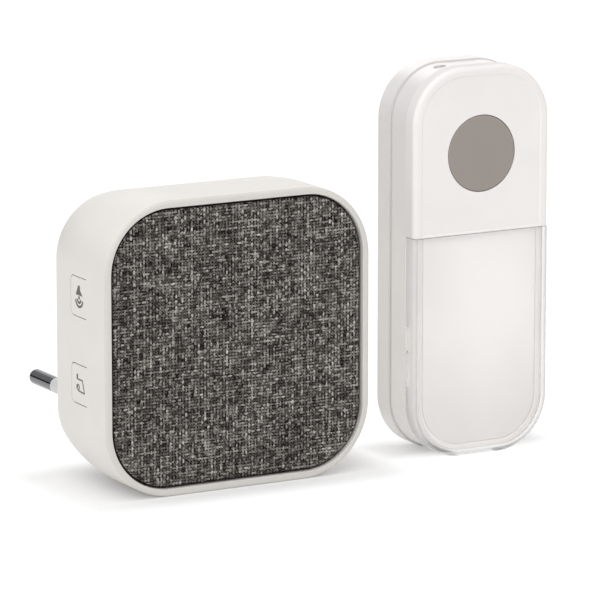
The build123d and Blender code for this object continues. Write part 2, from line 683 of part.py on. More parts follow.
def name_card():
    outline = push_outline(CARD_INSET) & below_split(SPLIT_Z - SPLIT_GAP - CARD_PLAY)
    return slab(outline, DECK_FRONT, DECK_FRONT + CARD_T)


def push_board():
    height = PUSH_BOARD_TOP - PUSH_BOARD_FOOT
    outline = RectangleRounded(PUSH_BOARD_W, height, PUSH_BOARD_CORNER_R)
    outline = Pos(0, (PUSH_BOARD_TOP + PUSH_BOARD_FOOT) / 2) * outline
    for side in (-1, 1):
        outline -= Pos(side * PUSH_SCREW_AT[0], PUSH_SCREW_AT[1]) * Circle(SCREW_R + SCREW_PLAY)
    return slab(outline, PUSH_BOARD_FRONT, PUSH_BOARD_BACK)


def push_switch():
    case = block((SWITCH_W, PUSH_SWITCH_T, SWITCH_W), (0, PUSH_AT_Z), PUSH_SWITCH_FRONT)
    well = Pos(0, PUSH_AT_Z) * Circle(PLUNGER_R + FIT)
    return case - slab(well, PUSH_SWITCH_FRONT - OVERRUN, PUSH_BOARD_FRONT - FIT)


def push_plunger():
    tip = Pos(0, PUSH_AT_Z) * Circle(PLUNGER_R)
    return slab(tip, PLUNGER_TIP_Y, PUSH_BOARD_FRONT - FIT - PUSH_TRAVEL - FIT)


def push_chip():
    return block(PUSH_CHIP_SIZE, (0, PUSH_CHIP_Z), PUSH_BOARD_BACK)


def button_cell():
    cell = slab(Circle(CELL_R), CELL_FRONT, CELL_BACK)
    return Pos(0, 0, CELL_Z) * fillet(cell.edges().filter_by(GeomType.CIRCLE), CELL_EDGE_R)


def cell_pad():
    return Pos(0, 0, CELL_Z) * slab(Circle(CELL_R / 2), PUSH_BOARD_BACK, CELL_FRONT)


def cell_clip():
    reach = CELL_R + CLIP_STRIP_PLAY + CLIP_STRIP_T
    over = slab(Rectangle(2 * reach, CLIP_STRIP_W), PUSH_BOARD_BACK, CELL_BACK + CLIP_STRIP_T)
    under = slab(Rectangle(2 * (reach - CLIP_STRIP_T), CLIP_STRIP_W), PUSH_BOARD_BACK, CELL_BACK)
    return Pos(0, 0, CELL_Z) * (over - under)


def push_board_screws():
    one = facing_front(screw(PUSH_BOARD_T + PUSH_SCREW_LENGTH))
    x, z = PUSH_SCREW_AT
    return Compound(children=[Pos(side * x, PUSH_BOARD_BACK, z) * one for side in (-1, 1)])


def status_led():
    length = TOP_INNER_Z - LED_PLAY - PUSH_BOARD_TOP
    lamp = Cylinder(LED_R, length, align=(Align.CENTER, Align.CENTER, Align.MIN))
    lamp = fillet(lamp.faces().sort_by(Axis.Z)[-1].edges(), LED_R / 2)
    return Pos(LED_X, LED_Y, PUSH_BOARD_TOP) * lamp


def wall_bracket():
    tray = slab(push_outline(0), BRACKET_FRONT, PUSH_DEPTH)
    tray = fillet(tray.faces().sort_by(Axis.Y)[-1].edges(), BRACKET_EDGE_R)
    land = push_outline(PARTING_LAND) - push_outline(BRACKET_INSET)
    tray += slab(land, HOUSING_BACK, BRACKET_FRONT)
    tray -= slab(push_outline(BRACKET_INSET), BRACKET_FRONT - OVERRUN, PLATE_FRONT)
    top = PUSH_H / 2 - BRACKET_INSET
    side_x = PUSH_W / 2 - BRACKET_INSET
    tongue = (TONGUE_W, PLATE_FRONT - HOUSING_BACK + TONGUE_REACH, TONGUE_T)
    front = HOUSING_BACK - TONGUE_REACH
    for end in (-1, 1):
        tray += block(tongue, (0, end * (top - TONGUE_T / 2)), front)
        upright = (TONGUE_T, tongue[1], TONGUE_W)
        for z in (-TONGUE_SIDE_Z, TONGUE_SIDE_Z):
            tray += block(upright, (end * (side_x - TONGUE_T / 2), z), front)
    hole = SlotOverall(WALL_SLOT_L, 2 * WALL_SCREW_R, rotation=90)
    head_room = 2 * (WALL_HEAD_R - WALL_SCREW_R)
    seat = SlotOverall(WALL_SLOT_L + head_room, 2 * WALL_HEAD_R, rotation=90)
    for end in (-1, 1):
        place = Pos(0, end * WALL_SCREW_PITCH / 2)
        tray -= slab(place * hole, PLATE_FRONT - OVERRUN, PUSH_DEPTH + OVERRUN)
        tray -= slab(place * seat, PLATE_FRONT - OVERRUN, PLATE_FRONT + WALL_HEAD_SINK)
    return tray


CHIME_PIECES = {
    "chime_housing": chime_housing,
    "grille_panel": grille_panel,
    "grille_fabric": grille_fabric,
    "speaker_gasket": speaker_gasket,
    "speaker_basket": speaker_basket,
    "speaker_magnet": speaker_magnet,
    "speaker_cone": speaker_cone,
    "volume_key": lambda: wall_key(1),
    "melody_key": lambda: wall_key(-1),
    "volume_plunger": lambda: key_plunger(1),
    "melody_plunger": lambda: key_plunger(-1),
    "key_switches": key_switches,
    "key_board": key_board,
    "main_board": main_board,
    "mains_capacitor": mains_capacitor,
    "smoothing_capacitors": smoothing_capacitors,
    "power_transformer": power_transformer,
    "sound_chip": sound_chip,
    "radio_module": radio_module,
    "rear_cover": rear_cover,
    "plug_pins": plug_pins,
    "pin_sleeves": pin_sleeves,
    "pin_contacts": pin_contacts,
    "rear_screws": rear_screws,
    "board_screws": board_screws,
}

PUSH_PIECES = {
    "wall_bracket": wall_bracket,
    "push_housing": push_housing,
    "front_cap": front_cap,
    "bell_push": bell_push,
    "push_membrane": push_membrane,
    "name_cover": name_cover,
    "name_card": name_card,
    "push_board": push_board,
    "push_switch": push_switch,
    "push_plunger": push_plunger,
    "push_chip": push_chip,
    "button_cell": button_cell,
    "cell_pad": cell_pad,
    "cell_clip": cell_clip,
    "push_board_screws": push_board_screws,
    "status_led": status_led,
}

for place, pieces in ((CHIME_PLACE, CHIME_PIECES), (PUSH_PLACE, PUSH_PIECES)):
    for name, make in pieces.items():
        export_step(place * make(), f"parts/{name}.step")
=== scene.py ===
"""The looks of a wireless doorbell: a plug-in chime with its bell-push transmitter.

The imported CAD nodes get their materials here. The woven cloth of the grille and the signs printed
on the two keys are added, and so are the camera, the lamps and the floor. Everything is in metres,
with X to the right across both fronts, Y to the back and Z up.
"""
import math

import bmesh
import bpy
import numpy as np
from mathutils import Matrix, Vector


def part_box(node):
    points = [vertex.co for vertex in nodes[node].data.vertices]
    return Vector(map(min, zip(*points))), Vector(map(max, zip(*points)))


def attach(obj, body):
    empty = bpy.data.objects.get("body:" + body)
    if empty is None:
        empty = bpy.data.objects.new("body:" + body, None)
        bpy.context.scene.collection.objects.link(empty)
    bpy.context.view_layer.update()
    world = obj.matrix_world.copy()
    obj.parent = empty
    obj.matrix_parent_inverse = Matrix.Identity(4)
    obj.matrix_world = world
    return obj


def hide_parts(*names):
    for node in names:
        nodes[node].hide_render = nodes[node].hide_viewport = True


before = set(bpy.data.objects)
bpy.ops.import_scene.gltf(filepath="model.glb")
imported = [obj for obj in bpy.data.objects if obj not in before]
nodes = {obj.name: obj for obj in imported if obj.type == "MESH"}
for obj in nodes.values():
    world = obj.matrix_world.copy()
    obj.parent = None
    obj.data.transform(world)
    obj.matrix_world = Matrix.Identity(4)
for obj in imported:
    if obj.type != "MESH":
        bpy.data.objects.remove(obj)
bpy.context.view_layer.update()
MM = 0.001

# Camera: a long lens, from the chime's left and a little above
IMAGE_PX = 600
SENSOR_MM = 36.0
FOCAL_PX = 4720.0
CAMERA_DISTANCE = 1.186
CAMERA_YAW = math.radians(28.4)
CAMERA_PITCH = math.radians(13.8)
CHIME_FOOT_PX = (239.2, 487.5)
CLIP_START, CLIP_END = 0.05, 20.0


def add_object(name, data):
    """A new object in the scene."""
    thing = bpy.data.objects.new(name, data)
    bpy.context.scene.collection.objects.link(thing)
    return thing


def chime_foot():
    """The lowest point of the chime's front, on its middle line."""
    low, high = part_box("chime_housing")
    return Vector(((low.x + high.x) / 2, low.y, low.z))


def make_camera():
    """Aims the camera so that the chime's foot falls on CHIME_FOOT_PX."""
    sin_y, cos_y = math.sin(CAMERA_YAW), math.cos(CAMERA_YAW)
    sin_p, cos_p = math.sin(CAMERA_PITCH), math.cos(CAMERA_PITCH)
    right = Vector((cos_y, -sin_y, 0))
    back = Vector((-sin_y * cos_p, -cos_y * cos_p, sin_p))
    up = back.cross(right)
    across = IMAGE_PX / 2 - CHIME_FOOT_PX[0]
    above = CHIME_FOOT_PX[1] - IMAGE_PX / 2
    aim = (-back * FOCAL_PX + right * across + up * above).normalized()
    view_right = aim.cross(Vector((0, 0, 1))).normalized()
    view_up = view_right.cross(aim)
    data = bpy.data.cameras.new("camera")
    data.sensor_width = SENSOR_MM
    data.lens = FOCAL_PX * SENSOR_MM / IMAGE_PX
    data.clip_start, data.clip_end = CLIP_START, CLIP_END
    camera = add_object("camera", data)
    turn = Matrix((view_right, view_up, -aim)).transposed()
    place = chime_foot() + back * CAMERA_DISTANCE
    camera.matrix_world = Matrix.Translation(place) @ turn.to_4x4()
    bpy.context.scene.camera = camera


# Colours and node trees

def srgb(r, g, b):
    """A colour given as 0 to 255 display values, as linear light."""
    def linear(c):
        c /= 255
        return c / 12.92 if c <= 0.04045 else ((c + 0.055) / 1.055) ** 2.4
    return (linear(r), linear(g), linear(b), 1.0)


def scaled(colour, factor):
    """A colour made darker or lighter by a factor, up to full white."""
    return tuple(min(c * factor, 1.0) for c in colour[:3]) + (1.0,)


# Places on a noise's scale at which a mottled colour is at its darkest and lightest
MOTTLE_DARK, MOTTLE_LIGHT = 0.3, 0.7


class Graph:
    """A material's node tree, with short calls to add and join nodes."""

    def __init__(self, name):
        self.material = bpy.data.materials.new(name)
        self.material.use_nodes = True
        self.tree = self.material.node_tree
        self.shader = self.tree.nodes["Principled BSDF"]
        self.output = self.tree.nodes["Material Output"]

    def add(self, kind, **settings):
        node = self.tree.nodes.new(kind)
        for key, value in settings.items():
            setattr(node, key, value)
        return node

    def join(self, source, target):
        self.tree.links.new(source, target)

    def put(self, socket, value):
        """Joins another node's output to a socket, or sets the socket to a plain value."""
        if isinstance(value, bpy.types.NodeSocket):
            self.join(value, socket)
        else:
            socket.default_value = value

    def set(self, **values):
        """Sets the main shader's sockets, named with _ for each space."""
        for key, value in values.items():
            self.put(self.shader.inputs[key.replace("_", " ")], value)

    def math(self, operation, a, b=0.0):
        node = self.add("ShaderNodeMath", operation=operation)
        self.put(node.inputs[0], a)
        self.put(node.inputs[1], b)
        return node.outputs[0]

    def off(self, value, centre):
        """How far a value lies from a centre, to either side."""
        return self.math("ABSOLUTE", self.math("SUBTRACT", value, centre))

    def swing(self, factor, size):
        """A factor from 0 to 1, made to swing about zero."""
        return self.math("MULTIPLY", self.math("SUBTRACT", factor, 0.5), size)

    def split(self, vector):
        node = self.add("ShaderNodeSeparateXYZ")
        self.join(vector, node.inputs[0])
        return node.outputs

    def combine(self, *values):
        node = self.add("ShaderNodeCombineXYZ")
        for socket, value in zip(node.inputs, values):
            self.put(socket, value)
        return node.outputs[0]

    def place(self):
        """Object coordinates, whole and split into X, Y and Z."""
        coordinates = self.add("ShaderNodeTexCoord").outputs["Object"]
        return coordinates, self.split(coordinates)

    def normal(self):
        """The surface's own direction, split into X, Y and Z."""
        return self.split(self.add("ShaderNodeTexCoord").outputs["Normal"])

    def noise(self, vector, scale, detail=2.0, roughness=0.5, stretch=None):
        if stretch is not None:
            mapping = self.add("ShaderNodeMapping")
            mapping.inputs["Scale"].default_value = stretch
            self.join(vector, mapping.inputs["Vector"])
            vector = mapping.outputs[0]
        node = self.add("ShaderNodeTexNoise")
        node.inputs["Scale"].default_value = scale
        node.inputs["Detail"].default_value = detail
        node.inputs["Roughness"].default_value = roughness
        self.join(vector, node.inputs["Vector"])
        return node.outputs["Fac"]

    def ramp(self, factor, *stops):
        """A colour ramp from (place, colour) stops."""
        node = self.add("ShaderNodeValToRGB")
        elements = node.color_ramp.elements
        while len(elements) < len(stops):
            elements.new(1.0)
        for element, (at, colour) in zip(elements, stops):
            element.position = at
            element.color = colour
        self.join(factor, node.inputs[0])
        return node.outputs[0]

    def mottle(self, noise, dark, light):
        """A colour that drifts between two close shades."""
        return self.ramp(noise, (MOTTLE_DARK, dark), (MOTTLE_LIGHT, light))

    def choose(self, factor, low, high):
        """The low number where the factor is 0 and the high one where it is 1."""
        node = self.add("ShaderNodeMix", data_type="FLOAT")
        for index, value in ((0, factor), (2, low), (3, high)):
            self.put(node.inputs[index], value)
        return node.outputs[0]

    def pick(self, factor, low, high):
        """The low colour where the factor is 0 and the high one where it is 1."""
        node = self.add("ShaderNodeMix", data_type="RGBA")
        for index, value in ((0, factor), (6, low), (7, high)):
            self.put(node.inputs[index], value)
        return node.outputs[2]

    def spread(self, factor, low, high):
        """A factor from 0 to 1, mapped to lie between two values."""
        node = self.add("ShaderNodeMapRange")
        self.join(factor, node.inputs["Value"])
        node.inputs["To Min"].default_value = low
        node.inputs["To Max"].default_value = high
        return node.outputs[0]

    def between(self, value, start, end, low, high):
        """Low up to start, high from end, and smoothly between them."""
        node = self.add("ShaderNodeMapRange", interpolation_type="SMOOTHSTEP")
        ends = (("From Min", start), ("From Max", end), ("To Min", low), ("To Max", high))
        for name, number in ends:
            node.inputs[name].default_value = number
        self.join(value, node.inputs["Value"])
        return node.outputs[0]

    def tint(self, colour, factor):
        """A colour made darker or lighter by a factor."""
        node = self.add("ShaderNodeVectorMath", operation="SCALE")
        self.join(colour, node.inputs[0])
        self.join(factor, node.inputs["Scale"])
        return node.outputs[0]

    def bump(self, height, strength, distance):
        node = self.add("ShaderNodeBump")
        node.inputs["Strength"].default_value = strength
        node.inputs["Distance"].default_value = distance
        self.join(height, node.inputs["Height"])
        self.join(node.outputs[0], self.shader.inputs["Normal"])

    def overlay(self, factor, other):
        """Shows another shader in place of the main one where the factor is 1."""
        mix = self.add("ShaderNodeMixShader")
        sources = (factor, self.shader.outputs[0], other.outputs[0])
        for socket, source in zip(mix.inputs, sources):
            self.join(source, socket)
        self.join(mix.outputs[0], self.output.inputs["Surface"])


def beyond(g, spans, inset=0.0):
    """How far a point lies outside a rectangle that is drawn in by the inset.

    spans holds the point's value, the low end and the high end along each of two axes.
    """
    squares = []
    for value, start, end in spans:
        off = g.off(value, (start + end) / 2)
        off = g.math("MAXIMUM", g.math("SUBTRACT", off, (end - start) / 2 - inset), 0.0)
        squares.append(g.math("MULTIPLY", off, off))
    return g.math("SQRT", g.math("ADD", *squares))


# How many of its own heights an outline with an open top goes on upwards
OPEN_TOP_HEIGHTS = 2


def outline_depth(g, x, z, node, corner, open_top=False):
    """How far a point lies inside a node's round-cornered outline, seen from the front.

    With open_top, the outline goes on upwards, so that it has no upper edge near the node.
    """
    low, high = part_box(node)
    if open_top:
        high.z += OPEN_TOP_HEIGHTS * (high.z - low.z)
    spans = ((x, low.x, high.x), (z, low.z, high.z))
    return g.math("SUBTRACT", corner, beyond(g, spans, corner))


# Materials of the CAD nodes. Noise scales are in cycles per metre.

CLOUD_SCALE = 60.0
GLOSS_SCALE = 900.0
GLOSS_DRIFT = 0.05
GRAIN_SCALE = 4200.0
GRAIN_DEPTH = 0.02 * MM
# The normal's X share at which a surface starts to count as a side wall, and where it is one
SIDEWAYS = (0.4, 0.8)
# How far the painted shade along a parting line's edges reaches, where it has faded, and its factor
SEAM_EDGE, SEAM_FADED, SEAM_SHADE = 0.3 * MM, 0.75 * MM, 0.84


def moulded(name, colour, roughness=0.42, grain=0.25, drift=0.02,
            front=None, sides=None, seam=None):
    """Moulded plastic: a fine spark-eroded grain, with slight drifts of colour and gloss.

    front gives the front skin a factor on its colour, painted light where it is above 1 and painted
    shade where it is below: (depth where it starts to fade, depth where it has faded, factor).
    sides darkens the side walls with height, painted shade that, with a bright base colour, lifts
    the chime's shadow on their lower part: (height where it starts, height where it is full,
    factor).
    seam is the depth of a parting line, whose edges get painted shade.
    """
    g = Graph(name)
    coordinates, (_, y, z) = g.place()
    cloud = g.noise(coordinates, CLOUD_SCALE, detail=3.0)
    paint = g.mottle(cloud, scaled(colour, 1 - drift), scaled(colour, 1 + drift))
    if front:
        start, end, factor = front
        # The front skin's painted light where the factor is above 1, painted shade where it is
        # below
        paint = g.tint(paint, g.between(y, start, end, factor, 1.0))
    if sides:
        start, end, factor = sides
        # Painted shade: the side walls darken with height, which with the bright base colour lifts
        # the chime's shadow on their lower part
        sideways = g.between(g.math("ABSOLUTE", g.normal()[0]), *SIDEWAYS, 0.0, 1.0)
        paint = g.tint(paint, g.choose(sideways, 1.0, g.between(z, start, end, 1.0, factor)))
    if seam is not None:
        # Painted shade along the parting line's edges
        paint = g.tint(paint, g.between(g.off(y, seam), SEAM_EDGE, SEAM_FADED, SEAM_SHADE, 1.0))
    gloss = g.noise(coordinates, GLOSS_SCALE)
    g.set(Base_Color=paint,
          Roughness=g.spread(gloss, roughness - GLOSS_DRIFT, roughness + GLOSS_DRIFT))
    g.bump(g.noise(coordinates, GRAIN_SCALE, roughness=0.6), grain, GRAIN_DEPTH)
    return g.material


TRACK_SCALE = 500.0
TRACK_STRETCH = (1.0, 1.0, 0.08)
# Places on the noise's scale where the plain board ends and a track starts
TRACK_EDGES = (0.52, 0.56)
TRACK_PALER = 1.8
TRACK_DEPTH = 0.04 * MM


def printed_board(name, colour):
    """Lacquered circuit board with faint straight tracks."""
    g = Graph(name)
    coordinates, _ = g.place()
    tracks = g.noise(coordinates, TRACK_SCALE, detail=0.0, stretch=TRACK_STRETCH)
    board_end, track_start = TRACK_EDGES
    paint = g.ramp(tracks, (board_end, colour), (track_start, scaled(colour, TRACK_PALER)))
    g.set(Base_Color=paint, Roughness=0.35)
    g.bump(tracks, strength=0.3, distance=TRACK_DEPTH)
    return g.material


BRUSH_SCALE = 900.0
BRUSH_DEPTH = 0.01 * MM
# The range of the roughness over the grain, as factors
SMOOTHEST, ROUGHEST = 0.7, 1.4


def metal(name, colour, roughness, stretch):
    """Metal with a fine drawn or brushed grain along one direction."""
    g = Graph(name)
    coordinates, _ = g.place()
    grain = g.noise(coordinates, BRUSH_SCALE, detail=3.0, roughness=0.6, stretch=stretch)
    g.set(Base_Color=colour, Metallic=1.0,
          Roughness=g.spread(grain, roughness * SMOOTHEST, roughness * ROUGHEST))
    g.bump(grain, strength=0.12, distance=BRUSH_DEPTH)
    return g.material


COVER_CORNER_R = 14.5 * MM
# Painted marks on the cover's front, shade and reflection lines and bands and a highlight line that
# stand in for the light its clear edges show: depth inside its outline, half width, and where they
# have faded
# Painted shade: a dark line all round
EDGE_SHADE_LINE = (0.85 * MM, 0.10 * MM, 0.32 * MM)
EDGE_SHADE_TONE = 0.72
# Painted reflection: a darker band on the left, where the left inner wall reflects dark
LEFT_REFLECTION_BAND = (1.7 * MM, 0.35 * MM, 0.65 * MM)
LEFT_REFLECTION_TONE = 0.8
# Painted shade: a faint darker band on the right, inside the pale line
RIGHT_SHADE_BAND = (2.45 * MM, 0.35 * MM, 0.6 * MM)
RIGHT_SHADE_TONE = 0.97
# Painted highlight: the pale line, milky so that it shows bright along the right and lower edges
HIGHLIGHT_LINE = (1.7 * MM, 0.2 * MM, 0.4 * MM)
# A side's band fades out, and on the left the pale line fades in, at these distances from it
SIDE_FADE = (6 * MM, 14 * MM)
# The marks end at this depth of the skin, and what is deeper counts as this far from them
SKIN_ENDS = (0.5 * MM, 0.8 * MM)
SKIN_FAR = 1.0 * MM
# How much light the cover lets through: its face, its milky border and walls, the pale line, which
# is a painted highlight
FACE_CLEAR = 0.93
BORDER_CLEAR = 0.62
WALL_CLEAR = 0.48
HIGHLIGHT_CLEAR = 0.02
# How wide the milky border is, and where it has faded
MILKY_BORDER = (1.2 * MM, 1.92 * MM)
# The normal's Y share at which a wall starts to turn to the front, and where it is the front
WALL_TURNS = (0.6, 0.98)
# The light that passes on to whatever the cover would shade
SHADOW_CLEAR = (0.93, 0.93, 0.93, 1.0)
RIPPLE_SCALE = 40.0
RIPPLE_DEPTH = 0.2 * MM
SMEAR_SCALE = 300.0
SMEAR_MOST = 0.03


def clear_plastic(name, node):
    """Clear plastic, milky at its edges and walls, with painted shade, a painted reflection and a
    painted highlight along its edges.

    Thin walls hardly bend light, and the gloss is a coat. Shadow rays pass straight through.
    """
    g = Graph(name)
    coordinates, (x, y, z) = g.place()
    (left, front, _), (right, _, _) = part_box(node)
    near, far = SIDE_FADE
    left_side, right_side = (left + near, left + far), (right - far, right - near)
    border = outline_depth(g, x, z, node, COVER_CORNER_R, open_top=True)
    behind = g.between(y, front + SKIN_ENDS[0], front + SKIN_ENDS[1], 0.0, SKIN_FAR)

    def mark(shape, on, outside):
        """One value on a mark, and another outside it and behind the front skin."""
        depth, half, faded = shape
        away = g.math("MAXIMUM", g.off(border, depth), behind)
        return g.between(away, half, faded, on, outside)

    haze = g.noise(coordinates, CLOUD_SCALE, detail=3.0)
    paint = g.mottle(haze, srgb(248, 247, 246), srgb(251, 250, 249))
    # Painted shade: the dark line all round the edge
    paint = g.tint(paint, mark(EDGE_SHADE_LINE, EDGE_SHADE_TONE, 1.0))
    # Painted reflection: the darker band on the left side
    shade = g.between(x, *left_side, LEFT_REFLECTION_TONE, 1.0)
    paint = g.tint(paint, g.choose(mark(LEFT_REFLECTION_BAND, 1.0, 0.0), 1.0, shade))
    # Painted shade: the faint band on the right side
    shade = g.between(x, *right_side, 1.0, RIGHT_SHADE_TONE)
    paint = g.tint(paint, g.choose(mark(RIGHT_SHADE_BAND, 1.0, 0.0), 1.0, shade))
    turned = g.math("ABSOLUTE", g.normal()[1])
    clear = g.math("MINIMUM", g.between(turned, *WALL_TURNS, WALL_CLEAR, FACE_CLEAR),
                   g.between(border, *MILKY_BORDER, BORDER_CLEAR, FACE_CLEAR))
    # Painted highlight: the pale line lets almost no light through, so it shows white
    pale = g.between(x, *left_side, FACE_CLEAR, HIGHLIGHT_CLEAR)
    clear = g.math("MINIMUM", clear, g.choose(mark(HIGHLIGHT_LINE, 1.0, 0.0), FACE_CLEAR, pale))
    smear = g.noise(coordinates, SMEAR_SCALE)
    g.set(Base_Color=paint, Transmission_Weight=clear, Roughness=g.spread(smear, 0.0, SMEAR_MOST),
          IOR=1.04, Coat_Weight=1.0, Coat_Roughness=0.06)
    g.bump(g.noise(coordinates, RIPPLE_SCALE), strength=0.05, distance=RIPPLE_DEPTH)
    through = g.add("ShaderNodeBsdfTransparent")
    through.inputs["Color"].default_value = SHADOW_CLEAR
    g.overlay(g.add("ShaderNodeLightPath").outputs["Is Shadow Ray"], through)
    return g.material


# Painted light on the card: it is brightest at this share of its width and height. It fades between
# these distances from there, in widths and heights, and painted shade darkens it once more from its
# foot up to a height.
CARD_LIGHT_CENTRE = (0.62, 0.66)
CARD_FADE = (0.1, 0.75)
CARD_FAR_SHADE = 0.88
CARD_FOOT_END = 0.6
CARD_FOOT_SHADE = 0.91
CARD_FIBRE_SCALE = 900.0
CARD_FIBRE_DEPTH = 0.02 * MM


def printed_card(name, node):
    """Smooth white card, with painted light that makes it a little brighter towards its upper right
    and painted shade at its foot.
    """
    g = Graph(name)
    low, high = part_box(node)
    width, height = high.x - low.x, high.z - low.z
    coordinates, (x, _, z) = g.place()
    squares = []
    for value, start, size, share in ((x, low.x, width, CARD_LIGHT_CENTRE[0]),
                                      (z, low.z, height, CARD_LIGHT_CENTRE[1])):
        off = g.math("DIVIDE", g.math("SUBTRACT", value, start + size * share), size)
        squares.append(g.math("MULTIPLY", off, off))
    away = g.math("SQRT", g.math("ADD", *squares))
    fibre = g.noise(coordinates, CARD_FIBRE_SCALE, detail=3.0, roughness=0.7)
    paint = g.mottle(fibre, srgb(241, 239, 238), srgb(243, 242, 241))
    # Painted light: brightest at one point and fading away from it; then painted shade towards the
    # foot
    paint = g.tint(paint, g.between(away, *CARD_FADE, 1.0, CARD_FAR_SHADE))
    foot = g.between(z, low.z, low.z + height * CARD_FOOT_END, CARD_FOOT_SHADE, 1.0)
    g.set(Base_Color=g.tint(paint, foot), Roughness=0.7)
    g.bump(fibre, strength=0.2, distance=CARD_FIBRE_DEPTH)
    return g.material


# Woven cloth. The mesh and the material share these pitches, so the colours fall on the threads.
WARP_PITCH = 0.89 * MM
WEFT_PITCH = 0.78 * MM
# Shares of a pitch: a thread's half width, and how its edge fades in and out
THREAD_HALF = 0.31
EDGE_IN, EDGE_OUT = 0.10, 0.08
WEAVE_HEIGHT = 0.18 * MM
# A crown's height above the weave's middle and a hole's depth below it, in thread heights
CROWN_HEIGHT, HOLE_DEPTH = 2, 0.6
STEPS_PER_THREAD = 5
CLOTH_CORNER_R = 15.8 * MM
CLOTH_EDGE_R = 0.9 * MM

# The yarn's colours by tone. Each swing says how far one kind of change moves the tone.
YARN_COLOURS = ((0.32, srgb(12, 11, 10)), (0.48, srgb(92, 88, 83)),
                (0.60, srgb(146, 142, 136)), (0.74, srgb(210, 206, 200)))
MIDDLE_TONE = 0.5
STREAK_SWING = 0.5
STREAK_LENGTH = 9.0 * MM
BIT_SWING = 0.24
BIT_CELLS = 1.5
BIT_STAGGER = 0.37
FIBRE_SWING = 0.2
FIBRE_SCALE = 5200.0
FIBRE_DEPTH = 0.05 * MM
PATCH_SWING = 0.10
PATCH_SCALE = 110.0
LINT_SWING = 0.35
LINT_SCALE = 2600.0
# How far loose fibres blur a thread's edge, in pitches
LOOSE_SWING = 0.5
LOOSE_SCALE = 900.0
WARP_SEED, WEFT_SEED = 1.7, 9.2
# The warp is a little paler than the weft
WARP_SHIFT, WEFT_SHIFT = 0.005, -0.005
# How far apart two neighbouring threads read the noise, so that their streaks differ
THREAD_APART = 7.31
# The factor for a thread that passes below another: painted shade under the crossing thread
UNDER_SHADE = 0.62
# Painted shade on the turned edge, which lies in the gap by the rim: dark up to the first share of
# its radius, and its own tone from the second
TURNED_SHADE_ENDS = (0.4, 0.65)
TURNED_SHADE_TONE = 0.06


def thread_tone(g, number, along, seed):
    """The tone of one thread: its own shade, with light and dark streaks along its length."""
    vector = g.combine(g.math("MULTIPLY", number, THREAD_APART),
                       g.math("DIVIDE", along, STREAK_LENGTH), seed)
    return g.noise(vector, 1.0, detail=3.0, roughness=0.62)


def yarn_bit(g, number, cells, seed):
    """The shade of one short bit of a thread, BIT_CELLS crossings long."""
    stagger = g.math("MULTIPLY", number, BIT_STAGGER)
    shifted = g.math("ADD", g.math("DIVIDE", cells, BIT_CELLS), stagger)
    vector = g.combine(number, g.math("FLOOR", shifted), seed)
    random = g.add("ShaderNodeTexWhiteNoise", noise_dimensions="3D")
    g.join(vector, random.inputs["Vector"])
    return random.outputs[0]


def woven(name, node):
    """Plain-woven melange cloth: dark and pale threads crossing each other, with painted shade.

    The holes stay black, painted shade with the black panel behind; the threads that pass below
    and the turned edge are darkened by painted shade.
    """
    g = Graph(name)
    coordinates, (x, _, z) = g.place()
    fibre = g.noise(coordinates, FIBRE_SCALE, roughness=0.7)
    patch = g.noise(coordinates, PATCH_SCALE)
    loose = g.swing(g.noise(coordinates, LOOSE_SCALE), LOOSE_SWING)
    lint = g.noise(coordinates, LINT_SCALE, detail=1.0)
    drift = g.math("ADD", g.swing(patch, PATCH_SWING), g.swing(lint, LINT_SWING))
    drift = g.math("ADD", g.swing(fibre, FIBRE_SWING), drift)
    threads = ((x, WARP_PITCH, z, WEFT_PITCH, WARP_SEED, WARP_SHIFT),
               (z, WEFT_PITCH, x, WARP_PITCH, WEFT_SEED, WEFT_SHIFT))
    numbers, covers, paints = [], [], []
    for across, pitch, along, step, seed, shift in threads:
        place = g.math("DIVIDE", across, pitch)
        number = g.math("ROUND", place)
        off = g.math("ADD", g.off(place, number), loose)
        streak = g.swing(thread_tone(g, number, along, seed), STREAK_SWING)
        bit = g.swing(yarn_bit(g, number, g.math("DIVIDE", along, step), seed), BIT_SWING)
        tone = g.math("ADD", g.math("ADD", streak, bit), drift)
        numbers.append(number)
        covers.append(g.between(off, THREAD_HALF - EDGE_IN, THREAD_HALF + EDGE_OUT, 1.0, 0.0))
        paints.append(g.ramp(g.math("ADD", tone, MIDDLE_TONE + shift), *YARN_COLOURS))
    warp_up = g.math("PINGPONG", g.math("ADD", *numbers), 1.0)
    top = g.choose(warp_up, covers[1], covers[0])
    # Painted shade: a thread that passes below is darkened, and where no thread covers, the colour
    # stays black, as shade and the black panel behind
    below = g.math("MULTIPLY", g.choose(warp_up, covers[0], covers[1]),
                   g.math("SUBTRACT", 1.0, top))
    below = g.math("MULTIPLY", below, UNDER_SHADE)
    upper = g.tint(g.pick(warp_up, paints[1], paints[0]), top)
    lower = g.tint(g.pick(warp_up, paints[0], paints[1]), below)
    both = g.add("ShaderNodeVectorMath", operation="ADD")
    g.join(upper, both.inputs[0])
    g.join(lower, both.inputs[1])
    # Painted shade on the turned edge, in the gap by the rim
    inside = outline_depth(g, x, z, node, CLOTH_CORNER_R)
    dark, lit = (share * CLOTH_EDGE_R for share in TURNED_SHADE_ENDS)
    turned = g.between(inside, dark, lit, TURNED_SHADE_TONE, 1.0)
    g.set(Base_Color=g.tint(both.outputs[0], turned), Roughness=0.92,
          Specular_IOR_Level=0.1, Sheen_Weight=0.04, Sheen_Roughness=0.5)
    g.bump(fibre, strength=0.5, distance=FIBRE_DEPTH)
    return g.material


def edge_distance(x, z, half, corner):
    """How far points lie inside a rounded square's outline; outside it is below zero."""
    qx = np.abs(x) - (half - corner)
    qz = np.abs(z) - (half - corner)
    outside = np.hypot(np.maximum(qx, 0), np.maximum(qz, 0))
    return corner - outside - np.minimum(np.maximum(qx, qz), 0)


